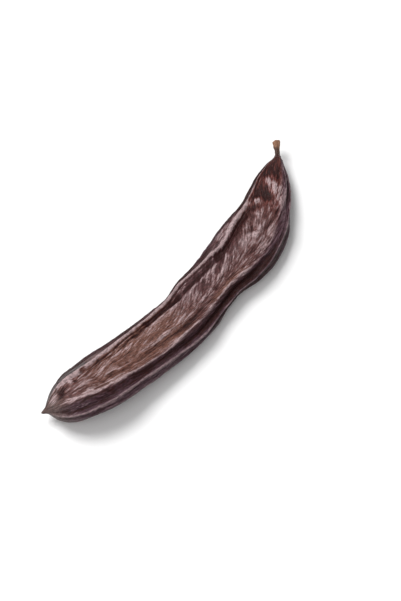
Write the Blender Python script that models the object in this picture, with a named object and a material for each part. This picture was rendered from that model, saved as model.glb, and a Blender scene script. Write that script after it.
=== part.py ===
"""Carob pod, whole, lying on its broad face, with its stalk.

Blender 4.5, metres, +Z up. +X runs from the beak to the stalk, and the pod's hollow side faces
+Y. The origin is at the middle of the bounding box in plan, on the surface that the pod lies on.
The pod is one closed surface: its sections are carried along a curved centreline, and ridges,
grooves and seed bulges are raised from that surface by formulas.
"""
import bmesh
import bpy
import numpy as np

MM = 0.001
PLAN_MIDDLE = (61.41, -11.30)

# The body, in millimetres. Stations run along the centreline from the beak to the neck.
BODY_LENGTH = 121.5
HEADING_AT = (0, 4, 9, 20, 42, 62, 80, 95, 106, 114, 122)
HEADING = (-22, -33, -28, -15, -11, -4, 3, 13.5, 21, 25.5, 31)
STATIONS = (0, 1.5, 2.8, 4.2, 7, 12, 20, 30, 42, 54, 63, 71, 79, 88, 96, 102, 108, 113, 117, 120, 121.5)
HOLLOW_WIDTH = (0.4, 1.35, 3.45, 5.8, 8.2, 10.5, 11.3, 10.15, 9.4, 9.2, 10.65, 10.55, 10.9, 11.15, 10.0,
                8.5, 7.5, 6.4, 4.85, 3.3, 1.9)
ARCHED_WIDTH = (0.4, 1.3, 3.6, 5.7, 8.1, 10.2, 11.3, 10.3, 10.0, 9.3, 7.6, 7.0, 9.1, 10.4, 9.9, 8.05,
                6.1, 4.6, 3.3, 2.3, 1.8)
UPPER_DEPTH = (0.4, 0.9, 1.9, 2.9, 4.1, 4.7, 4.4, 4.0, 3.8, 3.8, 3.8, 3.9, 4.2, 4.2, 4.1, 3.8,
               3.4, 2.8, 2.2, 1.8, 1.7)
LOWER_DEPTH = (0.4, 1.1, 2.4, 3.6, 4.7, 5.2, 5.2, 5.2, 5.1, 4.7, 4.3, 4.2, 4.2, 4.1, 4.0, 3.8,
               3.4, 2.8, 2.2, 1.8, 1.7)
MIDDLE_HEIGHT = (4.7, 4.9, 5.2, 5.6, 6.3, 7.0, 6.8, 6.2, 5.7, 5.1, 4.7, 4.6, 4.6, 4.4, 4.1, 4.1,
               4.3, 4.6, 4.9, 5.1, 5.2)

# The turn of each section about the centreline, in degrees, with the arched edge up.
TWIST_AT = (0, 10, 20, 35, 60, 80, 104, 122)
TWIST = (20, 20, 16, 6, 0, 0, 4, 2)

# Two rims edge each broad face. These are their places, in degrees round the section from the
# widest place of their own edge, and those of the deep crease inside the upper hollow-side rim.
HOLLOW_RIM_AT = (0, 8, 14, 20, 27, 36, 45, 57, 68, 75, 82, 88, 94, 101, 122)
HOLLOW_RIM = (68, 69, 67, 63, 57, 48, 40, 35, 39, 46, 55, 51, 46, 43, 42)
ARCHED_RIM_AT = (0, 20, 30, 42, 51, 60, 73, 79, 85, 92, 100, 110, 122)
ARCHED_RIM = (58, 59, 57, 55, 59, 58, 59, 56, 50, 43, 38, 38, 38)
HOLLOW_CREASE_AT = (0, 11, 14, 20, 30, 36, 41, 46, 53, 60, 70, 79, 84, 90, 96, 102, 122)
HOLLOW_CREASE = (79, 78, 73, 68, 65, 60, 55, 50, 48, 54, 57, 62, 61, 58, 56, 52, 51)
UNDER_RIM = 53.0
RIM_HEIGHT = 1.05
RIM_INNER, RIM_OUTER = 7.5, 10.0
RIM_FOOT = 13.0
FACE_LEVEL = 0.78

# The sides sink a little between rims and keels. The arched edge's keel runs this many degrees
# above the widest place of its edge, and the hollow edge's keel runs below that of its own.
ARCHED_KEEL_AT = (0, 10, 18, 30, 42, 50, 60, 75, 90, 98, 105, 112, 122)
ARCHED_KEEL = (20, 18, 25, 27, 26, 23, 22, 22, 26, 25, 18, 8, 0)
HOLLOW_KEEL = 17.0
SIDE_SINK = 0.30
SIDE_SINK_AT = 36.0
SIDE_SINK_SPREAD = 9.0
KEEL_HEIGHT = 0.8
KEEL_SPREAD = 7.0
KEEL_GROOVE = 0.5
KEEL_GROOVE_AT = 15.0
KEEL_GROOVE_SPREAD = 7.0
LESSER_GROOVE = 0.3

# Seeds push the faces out in a row along the middle.
SEED_FIRST = 15.0
SEED_PITCH = 9.4
SEED_COUNT = 11
SEED_LENGTH = 2.7
SEED_WIDTH = 3.4
SEED_RISE = 0.28

# Creases: breadth and height in millimetres (a groove is below zero), then the points that
# each one runs through, as a station and an angle round the section in degrees: 0 is the
# hollow edge's widest place, 90 the middle of the upper face, 180 the arched edge's widest place.
CREASES = (
    (1.1, -1.1, ((11, 78), (14, 73), (20, 68), (30, 65), (36, 60), (41, 55), (46, 50), (53, 48),
                 (60, 54), (70, 57), (79, 62), (84, 61), (90, 58), (96, 56), (102, 52))),
    (1.7, -0.5, ((42, 55), (46, 50), (53, 49), (60, 54))),
    (1.2, -0.8, ((5, 73), (7, 82), (8, 95))),
    (0.9, 0.5, ((2, 108), (6, 104), (10, 101), (15, 96))),
    (0.9, 0.5, ((4, 67), (8, 69), (13, 67), (20, 63))),
    (1.0, 0.35, ((19, 104), (24, 99), (30, 97))),
    (1.0, -0.4, ((18, 110), (25, 107), (33, 105), (42, 107))),
    (1.2, -0.4, ((40, 110), (48, 112), (58, 110), (66, 113))),
    (1.0, 0.3, ((34, 98), (42, 96), (52, 100), (60, 98))),
    (1.2, -0.5, ((71, 80), (74, 74), (77, 68), (80, 64))),
    (0.9, 0.3, ((70, 74), (73, 69), (77, 63))),
    (1.0, 0.35, ((72, 86), (76, 80), (81, 72))),
    (1.0, -0.3, ((66, 95), (72, 98), (80, 101), (88, 105))),
    (1.0, 0.35, ((90, 79), (94, 73), (97, 69))),
    (0.8, -0.35, ((90, 86), (95, 80), (99, 75))),
    (1.0, 0.4, ((92, 91), (96, 84), (100, 79))),
    (0.8, 0.4, ((89, 92), (94, 98), (97, 103), (101, 111), (104, 117))),
    (0.8, 0.3, ((95, 98), (98, 92), (102, 86))),
    (1.0, -0.3, ((90, 103), (96, 109), (103, 121))),
    (1.1, -0.3, ((99, 63), (101, 72), (105, 81), (109, 86))),
    (1.1, -0.7, ((16, 246), (26, 249), (38, 243), (50, 250), (64, 245), (78, 243), (92, 246), (102, 244))),
    (1.1, -0.8, ((14, 294), (26, 292), (40, 290), (54, 294), (68, 297), (82, 293), (96, 290))),
    (1.1, 0.5, ((30, 262), (35, 272), (41, 284))),
    (1.1, -0.6, ((33, 252), (39, 264), (45, 278))),
    (1.1, -0.6, ((52, 290), (58, 278), (64, 264))),
    (1.1, 0.5, ((68, 256), (74, 268), (80, 282))),
    (1.1, -0.6, ((72, 250), (78, 264), (85, 278))),
    (1.1, -0.6, ((88, 288), (93, 276), (98, 262))),
    (1.1, 0.5, ((100, 250), (104, 262), (108, 276))),
)
CREASE_FADE = 2.5

# Bulges that stand out beyond the row of seeds: station, angle, radius along and across,
# and rise.
BULGES = (
    (15.5, 100, 2.2, 1.8, 0.5), (46.5, 121, 3.0, 1.4, 0.5), (61, 83, 3.2, 2.2, 0.35),
    (77, 121, 2.6, 1.4, 0.4), (86, 82, 3.0, 2.2, 0.5), (103.5, 68, 1.9, 1.4, 0.8),
    (112, 76, 1.9, 1.5, 0.5), (109.5, 100, 2.3, 1.6, 0.5), (104.5, 125, 2.8, 1.4, 0.5),
)

# The three spots that the pod lies on: station, angle, radius, and rise.
REST_SPOTS = ((15, 304, 4.5, 2.05), (60, 234, 4.5, 1.95), (100, 304, 4.5, 0.85))
MM_PER_DEGREE = 0.0156

# The grid of the body.
RING_COUNT = 104
COLUMNS = (0, 4, 6, 11, 16, 18, 20, 22, 26, 28, 33, 38, 40, 43, 46)

# The neck's socket and the stalk's root in it.
SOCKET_RADIUS = 1.25
SOCKET_DEPTH = 2.2

# The stalk: how far along it each ring is, from the neck's lip, and its radius there.
STALK_HEADING = 46.0
STALK_RISE = 7.0
STALK_SIDES = 16
STALK_AT = (-1.9, -1.7, -0.6, 0.0, 1.2, 2.4, 3.6, 4.7, 5.6, 6.3, 6.9, 7.25, 7.4)
STALK_RADIUS = (0.75, 0.95, 0.95, 0.95, 0.86, 0.80, 0.79, 0.86, 1.0, 1.16, 1.24, 1.14, 0.82)
STALK_RIBS = 5
STALK_RIB_HEIGHT = 0.10
STALK_HOLLOW = 0.25

POD_COLOUR = (0.16, 0.09, 0.075)
STALK_COLOUR = (0.22, 0.12, 0.075)


def through(t, stations, values):
    """A smooth curve through the values: cubic pieces that never overshoot them."""
    k, v = np.asarray(stations, float), np.asarray(values, float)
    slope = np.diff(v) / np.diff(k)
    before, after = slope[:-1], slope[1:]
    same_way = before * after > 0
    total = np.where(same_way, before + after, 1.0)
    inner = np.where(same_way, 2 * before * after / total, 0.0)
    m = np.concatenate([slope[:1], inner, slope[-1:]])
    i = np.clip(np.searchsorted(k, t, side="right") - 1, 0, len(k) - 2)
    h = k[i + 1] - k[i]
    x = np.clip((t - k[i]) / h, 0, 1)
    start = (1 + 2 * x) * (1 - x) ** 2 * v[i] + x * (1 - x) ** 2 * h * m[i]
    end = x * x * (3 - 2 * x) * v[i + 1] + x * x * (x - 1) * h * m[i + 1]
    return start + end


def centreline(u):
    """Plan position and heading at each station, summed along the curve in fine steps."""
    fine = np.linspace(0, HEADING_AT[-1], 1221)
    turn = np.radians(through(fine, HEADING_AT, HEADING))
    step = fine[1] - fine[0]
    x = np.concatenate([[0], np.cumsum((np.cos(turn[1:]) + np.cos(turn[:-1])) / 2 * step)])
    y = np.concatenate([[0], np.cumsum((np.sin(turn[1:]) + np.sin(turn[:-1])) / 2 * step)])
    return np.interp(u, fine, x), np.interp(u, fine, y), np.interp(u, fine, turn)


def window(u, first, last, fade):
    """One between two stations, falling smoothly to nothing over the fade at each end."""
    rise = np.clip((u - first) / fade, 0, 1) * np.clip((last - u) / fade, 0, 1)
    return rise * rise * (3 - 2 * rise)


def crease(u, degree, scale, breadth, height, points):
    """Relief of one crease: a bell across the curve that it runs along, fading at both ends.

    The curve is cut into short straight pieces, and each place takes its distance to the
    nearest. Lengths round the section are degrees times the scale, in millimetres.
    """
    knots = np.arange(len(points))
    fine = np.linspace(0, knots[-1], 5 * knots[-1] + 1)
    along = through(fine, knots, [point[0] for point in points])
    round_by = through(fine, knots, [point[1] for point in points])
    travelled = np.concatenate([[0], np.cumsum(np.hypot(np.diff(along), np.diff(round_by) * scale.mean()))])
    nearest = np.full(u.shape, np.inf)
    reached = np.zeros(u.shape)
    for k in range(len(fine) - 1):
        run, rise = along[k + 1] - along[k], (round_by[k + 1] - round_by[k]) * scale
        away, over = u - along[k], (degree - round_by[k]) * scale
        share = np.clip((away * run + over * rise) / (run * run + rise * rise), 0, 1)
        distance = np.hypot(away - share * run, over - share * rise)
        closer = distance < nearest
        nearest = np.where(closer, distance, nearest)
        reached = np.where(closer, travelled[k] + share * (travelled[k + 1] - travelled[k]), reached)
    fade = window(reached, -0.3, travelled[-1] + 0.3, CREASE_FADE)
    return height * fade * np.exp(-(nearest / breadth) ** 2)


def relief(u, degree, width):
    """Height in millimetres that creases, bulges, seeds and resting spots add at each place."""
    scale = MM_PER_DEGREE * width
    total = np.zeros(u.shape)
    for breadth, height, points in CREASES:
        total += crease(u, degree, scale, breadth, height, points)
    for station, at, long, wide, rise in BULGES:
        total += rise * np.exp(-((u - station) / long) ** 2 - ((degree - at) * scale / wide) ** 2)
    for seed in range(SEED_COUNT):
        along = (u - SEED_FIRST - SEED_PITCH * seed) / SEED_LENGTH
        across = np.cos(np.radians(degree)) * width / SEED_WIDTH
        total += SEED_RISE * np.exp(-along ** 2 - across ** 2)
    for station, at, radius, rise in REST_SPOTS:
        total += rise * np.exp(-((u - station) ** 2 + ((degree - at) * scale) ** 2) / radius ** 2)
    return total


def bell(value, middle, spread):
    """One at the middle, falling smoothly on both sides."""
    return np.exp(-((value - middle) / spread) ** 2)


def rim_angle(u, hollow, up):
    """Where the rim stands, in degrees from the widest place of its own edge."""
    upper = np.where(hollow, through(u, HOLLOW_RIM_AT, HOLLOW_RIM), through(u, ARCHED_RIM_AT, ARCHED_RIM))
    return np.where(up, upper, UNDER_RIM)


def keels(u, degree, hollow):
    """Height of the two keels, with a groove beside them that is full only above the arched one."""
    arched_keel = 180 - through(u, ARCHED_KEEL_AT, ARCHED_KEEL)
    from_hollow = np.abs((degree + HOLLOW_KEEL + 180) % 360 - 180)
    distance = np.where(hollow, from_hollow, np.abs(degree - arched_keel))
    share = np.where(~hollow & (degree < arched_keel), 1.0, LESSER_GROOVE)
    groove = KEEL_GROOVE * share * bell(distance, KEEL_GROOVE_AT, KEEL_GROOVE_SPREAD)
    return KEEL_HEIGHT * bell(distance, 0.0, KEEL_SPREAD) - groove


def raised(u, degree, width):
    """Everything that stands out from the plain flat dome of the section, in millimetres."""
    from_edge = np.degrees(np.arccos(np.abs(np.cos(np.radians(degree)))))
    hollow, up = np.cos(np.radians(degree)) > 0, degree <= 180
    inside = from_edge - rim_angle(u, hollow, up)
    rims = RIM_HEIGHT * bell(inside, 0, np.where(inside > 0, RIM_INNER, RIM_OUTER))
    sink = SIDE_SINK * bell(from_edge, SIDE_SINK_AT, SIDE_SINK_SPREAD)
    total = rims + keels(u, degree, hollow) - sink + relief(u, degree, width)
    return window(u, 0.0, BODY_LENGTH, 9.0) * total


def pod_surface(u, degree):
    """Points of the body at a station and an angle round the section, in millimetres.

    The section is a flat dome above and below its middle. What is raised from it goes along the
    section's outward direction, that of an ellipse as wide and as deep.
    """
    share, lift, up = np.cos(np.radians(degree)), np.sin(np.radians(degree)), degree <= 180
    width = np.where(share > 0, through(u, STATIONS, HOLLOW_WIDTH), through(u, STATIONS, ARCHED_WIDTH))
    depth = np.where(up, through(u, STATIONS, UPPER_DEPTH), through(u, STATIONS, LOWER_DEPTH))
    dome = FACE_LEVEL * (1 - np.abs(share) ** 2.6) ** 0.62
    outward = np.hypot(share / width, lift / depth)
    extra = raised(u, degree, width) / outward
    out = width * share + extra * share / width
    high = np.where(up, depth * dome, -depth * dome) + extra * lift / depth
    turn = np.radians(through(u, TWIST_AT, TWIST))
    out, high = out * np.cos(turn) + high * np.sin(turn), high * np.cos(turn) - out * np.sin(turn)
    x, y, heading = centreline(u)
    z = np.maximum(through(u, STATIONS, MIDDLE_HEIGHT) + high, 0.0)
    return np.stack([x - np.sin(heading) * out, y + np.cos(heading) * out, z], axis=-1)


# The build

def column_angles(u):
    """Angles of one section's points, drawn together so that rims and creases get their own."""
    hollow_rim = through(u, HOLLOW_RIM_AT, HOLLOW_RIM)
    hollow_crease = through(u, HOLLOW_CREASE_AT, HOLLOW_CREASE)
    arched_rim = 180 - through(u, ARCHED_RIM_AT, ARCHED_RIM)
    arched_keel = 180 - through(u, ARCHED_KEEL_AT, ARCHED_KEEL)
    upper = (0, hollow_rim, hollow_crease, 90, arched_rim - RIM_FOOT, arched_rim, arched_keel)
    lower = (180, 180 + UNDER_RIM, 180 + UNDER_RIM + RIM_FOOT, 270, 360 - UNDER_RIM - RIM_FOOT,
             360 - UNDER_RIM, 360 - HOLLOW_KEEL, 360)
    return np.interp(np.arange(COLUMNS[-1]), COLUMNS, upper + lower)


def body_rings():
    """The sections of the body, then the rim and the floor of the socket in its neck."""
    share = np.linspace(0, 1, RING_COUNT)
    stations = BODY_LENGTH * (share - 0.035 * np.sin(2 * np.pi * share))
    degree = np.stack([column_angles(station) for station in stations])
    rings = list(pod_surface(stations[:, None] + 0 * degree, degree))
    for depth in (0.0, SOCKET_DEPTH):
        rings.append(neck_ring(-depth, SOCKET_RADIUS, np.radians(degree[-1])))
    return rings


def neck_ring(along, radius, angles):
    """A round section on the neck's own axis, at a distance past its end."""
    x, y, heading = centreline(BODY_LENGTH)
    forward = np.array([np.cos(heading), np.sin(heading), 0.0])
    sideways = np.array([-np.sin(heading), np.cos(heading), 0.0])
    centre = np.array([x, y, MIDDLE_HEIGHT[-1]]) + along * forward
    circle = np.cos(angles)[:, None] * sideways + np.sin(angles)[:, None] * np.array([0.0, 0.0, 1.0])
    return centre + radius * circle


def stalk_axis(along):
    """Points on the stalk's axis and the two directions across it.

    Its root runs straight out of the socket. Past the neck it turns and rises by degrees.
    """
    x, y, start = centreline(BODY_LENGTH)
    fine = np.linspace(STALK_AT[0], STALK_AT[-1], 401)
    bend = np.clip(fine / STALK_AT[-1], 0, 1)
    heading = start + (np.radians(STALK_HEADING) - start) * bend
    climb = np.radians(STALK_RISE) * bend
    forward = np.stack([np.cos(heading) * np.cos(climb), np.sin(heading) * np.cos(climb), np.sin(climb)], -1)
    path = np.cumsum(forward, axis=0) * (fine[1] - fine[0])
    path += np.array([x, y, MIDDLE_HEIGHT[-1]]) - path[np.searchsorted(fine, 0.0)]
    centre = np.stack([np.interp(along, fine, path[:, axis]) for axis in range(3)], -1)
    heading, climb = np.interp(along, fine, heading), np.interp(along, fine, climb)
    sideways = np.stack([-np.sin(heading), np.cos(heading), 0 * heading], -1)
    upward = np.stack([-np.cos(heading) * np.sin(climb), -np.sin(heading) * np.sin(climb), np.cos(climb)], -1)
    return centre, sideways, upward


def stalk_rings():
    """Ribbed round sections along the stalk, wider at the knob."""
    along = np.array(STALK_AT)
    centre, sideways, upward = stalk_axis(along)
    angles = np.arange(STALK_SIDES) * 2 * np.pi / STALK_SIDES
    ribs = 1 + STALK_RIB_HEIGHT * np.cos(STALK_RIBS * angles) * window(along, 0.0, 9.0, 2.0)[:, None]
    radius = np.array(STALK_RADIUS)[:, None] * ribs
    across = radius[..., None] * np.cos(angles)[:, None] * sideways[:, None]
    return list(centre[:, None] + across + radius[..., None] * np.sin(angles)[:, None] * upward[:, None])


def closed_object(name, rings, first_pole, last_pole, material):
    """One closed surface through rings of equal count, with a point at each end."""
    sides = len(rings[0])
    middle = np.array([*PLAN_MIDDLE, 0.0])
    points = (np.concatenate([[first_pole], *rings, [last_pole]]) - middle) * MM
    last = len(points) - 1
    faces = []
    for side in range(sides):
        after = (side + 1) % sides
        faces.append((0, 1 + side, 1 + after))
        faces.append((last, last - sides + after, last - sides + side))
        for ring in range(len(rings) - 1):
            low, high = 1 + ring * sides, 1 + (ring + 1) * sides
            faces.append((low + side, high + side, high + after, low + after))
    mesh = bpy.data.meshes.new(name)
    mesh.from_pydata(points.tolist(), [], faces)
    bm = bmesh.new()
    bm.from_mesh(mesh)
    bmesh.ops.triangulate(bm, faces=bm.faces, quad_method="SHORT_EDGE")
    bmesh.ops.recalc_face_normals(bm, faces=bm.faces)
    bm.to_mesh(mesh)
    bm.free()
    mesh.shade_smooth()
    mesh.materials.append(material)
    made = bpy.data.objects.new(name, mesh)
    bpy.context.scene.collection.objects.link(made)
    return made


def finish(name, colour, roughness):
    """A plain Principled material."""
    material = bpy.data.materials.new(name)
    material.use_nodes = True
    shader = material.node_tree.nodes["Principled BSDF"]
    shader.inputs["Base Color"].default_value = (*colour, 1.0)
    shader.inputs["Roughness"].default_value = roughness
    shader.inputs["Metallic"].default_value = 0.0
    material.diffuse_color = (*colour, 1.0)
    return material


def make_pod():
    """The body, from the tip of the beak to the floor of the socket for the stalk."""
    rings = body_rings()
    beak = rings[0].mean(axis=0) + np.array([-0.25, 0.2, 0.0])
    return closed_object("pod", rings, beak, rings[-1].mean(axis=0), finish("pod_skin", POD_COLOUR, 0.5))


def make_stalk():
    """The stalk, with a shallow hollow in its broken end."""
    rings = stalk_rings()
    root = rings[0].mean(axis=0)
    inward = (rings[-2].mean(axis=0) - rings[-1].mean(axis=0))
    tip = rings[-1].mean(axis=0) + STALK_HOLLOW * inward / np.linalg.norm(inward)
    return closed_object("stalk", rings, root, tip, finish("stalk_bark", STALK_COLOUR, 0.8))


def main():
    """Clear the scene and make both pieces."""
    for old in list(bpy.data.objects):
        bpy.data.objects.remove(old)
    make_pod()
    make_stalk()


main()
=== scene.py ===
# %% [markdown]
# # A carob pod, from formulas to finish
# A ripe carob pod is one grown body: a long flat bean with two broad faces, two side bands and a
# fine keel along each edge where its halves meet. As it dries it shrinks onto its seeds, so the
# faces sink between thick rims and the skin folds into slanting wrinkles. A short woody stalk
# stays in its neck. The solid frame already has that body with its main ridges. This script
# carries the same formulas to a grid some twenty times as fine, adds the skin's own relief, and
# paints it from what it knows about each place: crest or hollow, face or side.

# %% Load the frame
import math

import bpy
import numpy as np
from mathutils import Matrix, Vector


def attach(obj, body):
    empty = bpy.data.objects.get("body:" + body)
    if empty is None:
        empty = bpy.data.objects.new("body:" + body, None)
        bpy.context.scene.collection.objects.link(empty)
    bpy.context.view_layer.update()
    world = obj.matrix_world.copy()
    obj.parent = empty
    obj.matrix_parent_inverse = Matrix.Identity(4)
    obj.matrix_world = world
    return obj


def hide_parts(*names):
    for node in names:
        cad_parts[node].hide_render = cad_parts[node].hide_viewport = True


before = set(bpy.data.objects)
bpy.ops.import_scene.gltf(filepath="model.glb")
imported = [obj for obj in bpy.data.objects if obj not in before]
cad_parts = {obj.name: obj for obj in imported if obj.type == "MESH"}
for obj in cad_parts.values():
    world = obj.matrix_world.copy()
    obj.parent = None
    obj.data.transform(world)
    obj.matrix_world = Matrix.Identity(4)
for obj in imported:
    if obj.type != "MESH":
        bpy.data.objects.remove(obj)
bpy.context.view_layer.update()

MM = 0.001

# %% [markdown]
# ## The pod's measures
# Widths and depths are given at stations along the curved centreline, in millimetres from the
# beak. A pod bends and swells gently, so a few stations with a smooth curve between them describe
# it better than a long list of points. The hollow edge is the one that the pod curves round.

# %% Measures along the pod
PLAN_MIDDLE = (61.41, -11.30)
BODY_LENGTH = 121.5
HEADING_AT = (0, 4, 9, 20, 42, 62, 80, 95, 106, 114, 122)
HEADING = (-22, -33, -28, -15, -11, -4, 3, 13.5, 21, 25.5, 31)
STATIONS = (0, 1.5, 2.8, 4.2, 7, 12, 20, 30, 42, 54, 63, 71, 79, 88, 96, 102, 108, 113, 117, 120,
            121.5)
HOLLOW_WIDTH = (0.4, 1.35, 3.45, 5.8, 8.2, 10.5, 11.3, 10.15, 9.4, 9.2, 10.65, 10.55, 10.9, 11.15, 10.0,
                8.5, 7.5, 6.4, 4.85, 3.3, 1.9)
ARCHED_WIDTH = (0.4, 1.3, 3.6, 5.7, 8.1, 10.2, 11.3, 10.3, 10.0, 9.3, 7.6, 7.0, 9.1, 10.4, 9.9, 8.05,
                6.1, 4.6, 3.3, 2.3, 1.8)
UPPER_DEPTH = (0.4, 0.9, 1.9, 2.9, 4.1, 4.7, 4.4, 4.0, 3.8, 3.8, 3.8, 3.9, 4.2, 4.2, 4.1, 3.8,
               3.4, 2.8, 2.2, 1.8, 1.7)
LOWER_DEPTH = (0.4, 1.1, 2.4, 3.6, 4.7, 5.2, 5.2, 5.2, 5.1, 4.7, 4.3, 4.2, 4.2, 4.1, 4.0, 3.8,
               3.4, 2.8, 2.2, 1.8, 1.7)
MIDDLE_HEIGHT = (4.7, 4.9, 5.2, 5.6, 6.3, 7.0, 6.8, 6.2, 5.7, 5.1, 4.7, 4.6, 4.6, 4.4, 4.1, 4.1,
                 4.3, 4.6, 4.9, 5.1, 5.2)
TWIST_AT = (0, 10, 20, 35, 60, 80, 104, 122)
TWIST = (20, 20, 16, 6, 0, 0, 4, 2)


def through(place, stations, values):
    """A smooth curve through the values: cubic pieces whose slopes never let them overshoot.

    The slope at a station is the harmonic mean of the slopes on its two sides, or level where
    they disagree. Between two stations the curve is the cubic with their heights and slopes.
    """
    knots, heights = np.asarray(stations, float), np.asarray(values, float)
    rises = np.diff(heights) / np.diff(knots)
    before, after = rises[:-1], rises[1:]
    same_way = before * after > 0
    total = np.where(same_way, before + after, 1.0)
    inner = np.where(same_way, 2 * before * after / total, 0.0)
    slopes = np.concatenate([rises[:1], inner, rises[-1:]])
    piece = np.clip(np.searchsorted(knots, place, side="right") - 1, 0, len(knots) - 2)
    length = knots[piece + 1] - knots[piece]
    part = np.clip((place - knots[piece]) / length, 0, 1)
    leaving = (1 + 2 * part) * heights[piece] + part * length * slopes[piece]
    reaching = (3 - 2 * part) * heights[piece + 1] + (part - 1) * length * slopes[piece + 1]
    return (1 - part) ** 2 * leaving + part ** 2 * reaching


print("pod", BODY_LENGTH, "mm long, up to", max(HOLLOW_WIDTH) + max(ARCHED_WIDTH), "mm wide")

# %% [markdown]
# ## Bells, ridges and steps
# Nearly all of the pod's relief is made of a few simple shapes. A bell is soft on top, a ridge is
# sharp. A window and a step say where on the pod something happens. They work on whole arrays of
# places at once, so the script has no loop over points.

# %% Simple shapes
def bell(value, middle, spread):
    """One at the middle, falling smoothly on both sides: e to the minus square of the distance."""
    return np.exp(-((value - middle) / spread) ** 2)


def ridge(value, middle, spread, blunt=0.6):
    """One at the middle with a sharp top: e to the minus distance, rounded over the blunt part."""
    return np.exp(-(np.hypot(value - middle, blunt) - blunt) / spread)


def softly(value, low, high):
    """Zero below the low value, one above the high one: three squares less two cubes between."""
    part = np.clip((value - low) / (high - low), 0, 1)
    return part * part * (3 - 2 * part)


def window(value, first, last, fade):
    """One between two values, falling smoothly to nothing over the fade at each end."""
    part = np.clip((value - first) / fade, 0, 1) * np.clip((last - value) / fade, 0, 1)
    return part * part * (3 - 2 * part)


print("one spread out, a bell is at", round(float(bell(1, 0, 1)), 2), "and a ridge at",
      round(float(ridge(1, 0, 1)), 2))

# %% [markdown]
# ## The centreline
# The pod's plan is an S, hooked at the beak. It is given as a heading at each station, the way a
# road is surveyed, because headings keep the length true however the curve is changed.

# %% Centreline
CENTRELINE_POINTS = 1221


def centreline(station):
    """Plan position and heading at a station: sines and cosines of the heading, summed along."""
    fine = np.linspace(0, HEADING_AT[-1], CENTRELINE_POINTS)
    heading = np.radians(through(fine, HEADING_AT, HEADING))
    step = fine[1] - fine[0]
    x = np.concatenate([[0], np.cumsum((np.cos(heading[1:]) + np.cos(heading[:-1])) / 2 * step)])
    y = np.concatenate([[0], np.cumsum((np.sin(heading[1:]) + np.sin(heading[:-1])) / 2 * step)])
    return np.interp(station, fine, x), np.interp(station, fine, y), np.interp(station, fine, heading)


end_x, end_y, end_heading = centreline(BODY_LENGTH)
print("neck at", round(float(end_x), 1), round(float(end_y), 1), "mm, heading",
      round(math.degrees(float(end_heading)), 1))

# %% [markdown]
# ## Rims and keels
# Places on the skin are named by two numbers, a station and an angle round the section: 0 is the
# hollow edge's widest place, 90 the middle of the upper face, 180 the arched edge's widest place
# and 270 the middle of the lower face. Rims run along both sides of each face at angles that
# wander, and a keel runs along each edge between shallow grooves. Heights are in millimetres and
# spreads in degrees.

# %% Rims and keels
HOLLOW_RIM_AT = (0, 8, 14, 20, 27, 36, 45, 57, 68, 75, 82, 88, 94, 101, 122)
HOLLOW_RIM = (68, 69, 67, 63, 57, 48, 40, 35, 39, 46, 56, 53, 49, 46, 44)
ARCHED_RIM_AT = (0, 20, 30, 42, 51, 60, 73, 79, 85, 92, 100, 110, 122)
ARCHED_RIM = (58, 58, 55, 53, 58, 58, 59, 56, 50, 43, 38, 38, 38)
UNDER_RIM = 53.0
RIM_HEIGHT = 1.05
RIM_INNER, RIM_OUTER = 5.0, 9.0
RIM_BLUNT = 0.6
RIM_BROADER = 4.0
BROAD_TO_BEAK, BROAD_TO_NECK = (2, 30, 6), (50, 125, 14)
ARCHED_KEEL_AT = (0, 10, 18, 30, 42, 50, 60, 75, 90, 98, 105, 112, 122)
ARCHED_KEEL = (20, 18, 27, 30, 29, 24, 22, 24, 31, 30, 21, 9, 0)
HOLLOW_KEEL = 17.0
SIDE_SINK = 0.30
SIDE_SINK_AT = 36.0
SIDE_SINK_SPREAD = 9.0
KEEL_HEIGHT = 0.8
KEEL_SPREAD = 4.5
KEEL_GROOVE = 0.5
KEEL_GROOVE_AT = 15.0
KEEL_GROOVE_SPREAD = 7.0
OTHER_GROOVES = 0.3


def rim_angle(station, hollow, up):
    """Where the rim stands, in degrees from the widest place of its own edge."""
    hollow_rim = through(station, HOLLOW_RIM_AT, HOLLOW_RIM)
    arched_rim = through(station, ARCHED_RIM_AT, ARCHED_RIM)
    return np.where(up, np.where(hollow, hollow_rim, arched_rim), UNDER_RIM)


def keel_distance(station, degree):
    """Degrees from the keel of the nearer edge: one runs above its widest place, one below."""
    from_arched = np.abs(degree - 180 + through(station, ARCHED_KEEL_AT, ARCHED_KEEL))
    from_hollow = np.abs((degree + HOLLOW_KEEL + 180) % 360 - 180)
    return np.where(np.cos(np.radians(degree)) > 0, from_hollow, from_arched)


def edges(station, degree):
    """Rims and keels stand proud as ridges across the section. Side bands and grooves are bells.

    The arched edge's rim is broad and blunt, but for a sharp stretch before mid-length. The
    groove above the arched keel is deeper than the others.
    """
    across = np.cos(np.radians(degree))
    from_edge = np.degrees(np.arccos(np.abs(across)))
    inside = from_edge - rim_angle(station, across > 0, degree <= 180)
    broad = (across < 0) * (window(station, *BROAD_TO_BEAK) + window(station, *BROAD_TO_NECK))
    spread = np.where(inside > 0, RIM_INNER + RIM_BROADER * broad, RIM_OUTER)
    rims = RIM_HEIGHT * ridge(inside, 0, spread, RIM_BLUNT + RIM_BROADER * broad)
    sink = SIDE_SINK * bell(from_edge, SIDE_SINK_AT, SIDE_SINK_SPREAD)
    from_keel = keel_distance(station, degree)
    over_keel = (degree < 180 - through(station, ARCHED_KEEL_AT, ARCHED_KEEL)) & (degree > 90)
    groove = KEEL_GROOVE * bell(from_keel, KEEL_GROOVE_AT, KEEL_GROOVE_SPREAD)
    keel = KEEL_HEIGHT * ridge(from_keel, 0.0, KEEL_SPREAD)
    return rims + keel - sink - groove * np.where(over_keel, 1.0, OTHER_GROOVES)


print("rims", RIM_HEIGHT, "mm high, keels", KEEL_HEIGHT, "mm high")

# %% [markdown]
# ## Main creases
# Where the drying skin gives way it folds. Each main crease is a bell-shaped valley or ridge
# whose middle follows a short curve over the skin. A few numbers move it, which sculpting by hand
# would not allow. The longest runs inside the hollow edge's rim from beak to neck.

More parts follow.
